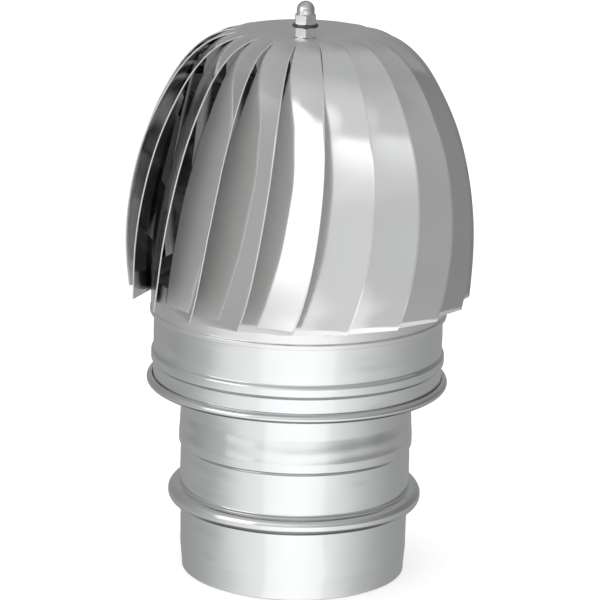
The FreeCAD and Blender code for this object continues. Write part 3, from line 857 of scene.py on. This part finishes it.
world = bpy.data.worlds.new("studio")
bpy.context.scene.world = world
world.use_nodes = True
wt = world.node_tree
wt.nodes.clear()


def node(kind, **inputs):
    nd = wt.nodes.new(kind)
    for k, v in inputs.items():
        nd.inputs[k].default_value = v
    return nd


def math_node(op, a, b=None, c=None):
    nd = wt.nodes.new("ShaderNodeMath")
    nd.operation = op
    for i, v in enumerate((a, b, c)):
        if v is None:
            continue
        if isinstance(v, (int, float)):
            nd.inputs[i].default_value = v
        else:
            wt.links.new(v, nd.inputs[i])
    return nd.outputs[0]


def ramp01(value, lo, hi):
    """Smooth 0 to 1 as value goes from lo to hi."""
    nd = wt.nodes.new("ShaderNodeMapRange")
    nd.interpolation_type = "SMOOTHSTEP"
    nd.inputs["From Min"].default_value = lo
    nd.inputs["From Max"].default_value = hi
    wt.links.new(value, nd.inputs["Value"])
    return nd.outputs["Result"]


geo = wt.nodes.new("ShaderNodeTexCoord")
sep = wt.nodes.new("ShaderNodeSeparateXYZ")
wt.links.new(geo.outputs["Generated"], sep.inputs[0])
X, Y, Z = sep.outputs
DEG = 180.0 / math.pi
el = math_node("MULTIPLY", math_node("ARCSINE", Z), DEG)
az = math_node("MULTIPLY", math_node("ARCTAN2", X, math_node("MULTIPLY", Y, -1.0)), DEG)


def window(value, lo, hi, soft_lo, soft_hi):
    return math_node("MULTIPLY", ramp01(value, lo - soft_lo, lo + soft_lo),
                     math_node("SUBTRACT", 1.0, ramp01(value, hi - soft_hi, hi + soft_hi)))


def lobe(value, centre, width):
    d = math_node("DIVIDE", math_node("SUBTRACT", value, centre), width)
    return math_node("EXPONENT", math_node("MULTIPLY", math_node("MULTIPLY", d, d), -1.0))


def mix(a, b, t):
    """a + (b - a) * t"""
    return math_node("ADD", a, math_node("MULTIPLY", math_node("SUBTRACT", b, a), t))


# white table below the horizon: bright towards the front, grey round the sides
front = mix(lobe(az, 3.0, 78.0), lobe(az, 3.0, 65.0), ramp01(az, -3.0, 9.0))
lower = math_node("ADD", 0.36, math_node("MULTIPLY", 0.86, front))
lower = math_node("ADD", lower, math_node("MULTIPLY", 0.10, window(az, -29.0, 31.5, 1.5, 1.5)))
lower = math_node("ADD", lower, math_node("MULTIPLY", 0.08, lobe(az, -58.0, 20.0)))
lower = math_node("MULTIPLY", lower, math_node("SUBTRACT", 1.0, math_node("MULTIPLY", 0.72, ramp01(math_node("MULTIPLY", el, -1.0), 32.0, 52.0))))
# room above it: grey, paler to the front left, darker to the right and behind
room = math_node("ADD", 0.19, math_node("MULTIPLY", 0.58, lobe(az, -25.0, 78.0)))
room = math_node("ADD", room, math_node("MULTIPLY", 0.15, lobe(math_node("ABSOLUTE", az), 180.0, 40.0)))
# tall window panel at the front left, and a strip light over the camera
panel = math_node("MULTIPLY", window(az, -73.0, -37.0, 3.0, 5.0), ramp01(el, -16.0, 2.0))
room = math_node("ADD", room, math_node("MULTIPLY", 0.85, panel))
strip = math_node("MULTIPLY", lobe(az, -22.0, 48.0), ramp01(el, 10.0, 27.0))
room = math_node("ADD", room, math_node("MULTIPLY", 0.62, strip))
# ceiling, a little paler to the front
low_ceiling = math_node("ADD", 0.33, math_node("MULTIPLY", 0.42, lobe(az, -20.0, 70.0)))
ceiling = mix(low_ceiling, 0.52, ramp01(el, 38.0, 72.0))
room = mix(room, ceiling, ramp01(el, 26.5, 30.5))
line = math_node("SUBTRACT", el, math_node("MULTIPLY", 4.5, lobe(az, -5.0, 38.0)))
line = math_node("ADD", line, math_node("MULTIPLY", 6.0, lobe(az, -92.0, 34.0)))
line = math_node("ADD", line, math_node("MULTIPLY", 0.6, lobe(az, 60.0, 25.0)))
light = mix(lower, room, ramp01(line, -15.0, -9.5))
light = math_node("MULTIPLY", light, 0.92)

path = wt.nodes.new("ShaderNodeLightPath")
bg_room = wt.nodes.new("ShaderNodeBackground")
wt.links.new(light, bg_room.inputs["Strength"])
bg_room.inputs["Color"].default_value = (0.985, 0.995, 1.0, 1)
bg_cam = wt.nodes.new("ShaderNodeBackground")
bg_cam.inputs["Color"].default_value = (1, 1, 1, 1)
bg_cam.inputs["Strength"].default_value = 1.0
mixer = wt.nodes.new("ShaderNodeMixShader")
wt.links.new(path.outputs["Is Camera Ray"], mixer.inputs[0])
wt.links.new(bg_room.outputs[0], mixer.inputs[1])
wt.links.new(bg_cam.outputs[0], mixer.inputs[2])
wout = wt.nodes.new("ShaderNodeOutputWorld")
wt.links.new(mixer.outputs[0], wout.inputs["Surface"])

# broad overhead light for the floor; it leaves no spot on the metal
over = bpy.data.lights.new("overhead", "AREA")
over.shape = "DISK"
over.size = 7.0
over.energy = 180.0
over.specular_factor = 0.0
over_obj = bpy.data.objects.new("overhead", over)
over_obj.location = (0.0, 0.6, 6.0)
bpy.context.scene.collection.objects.link(over_obj)
over_obj.visible_glossy = False
over_obj.visible_camera = False

cam = bpy.data.cameras.new("camera")
cam.sensor_width = 36.0
cam.lens = 3182.0 / 600.0 * 36.0
cam.clip_start = 0.05
cam.clip_end = 60.0
cam_obj = bpy.data.objects.new("camera", cam)
bpy.context.scene.collection.objects.link(cam_obj)
pos = Vector((0.00086, -2.0, 0.708))
aim = Vector((0.00086, 0.0, 0.18006))
fwd = (aim - pos).normalized()
right = fwd.cross(Vector((0, 0, 1))).normalized()
up = right.cross(fwd)
roll = math.radians(1.4)
up2 = up * math.cos(roll) - right * math.sin(roll)
right2 = right * math.cos(roll) + up * math.sin(roll)
m = Matrix((right2, up2, -fwd)).transposed().to_4x4()
m.translation = pos
cam_obj.matrix_world = m
bpy.context.scene.camera = cam_obj

# light passes many times between the blades before it leaves the dome
bpy.context.scene.cycles.max_bounces = 24
bpy.context.scene.cycles.glossy_bounces = 20
bpy.context.scene.cycles.diffuse_bounces = 8
bpy.context.scene.view_settings.view_transform = "Standard"
bpy.context.scene.view_settings.look = "None"
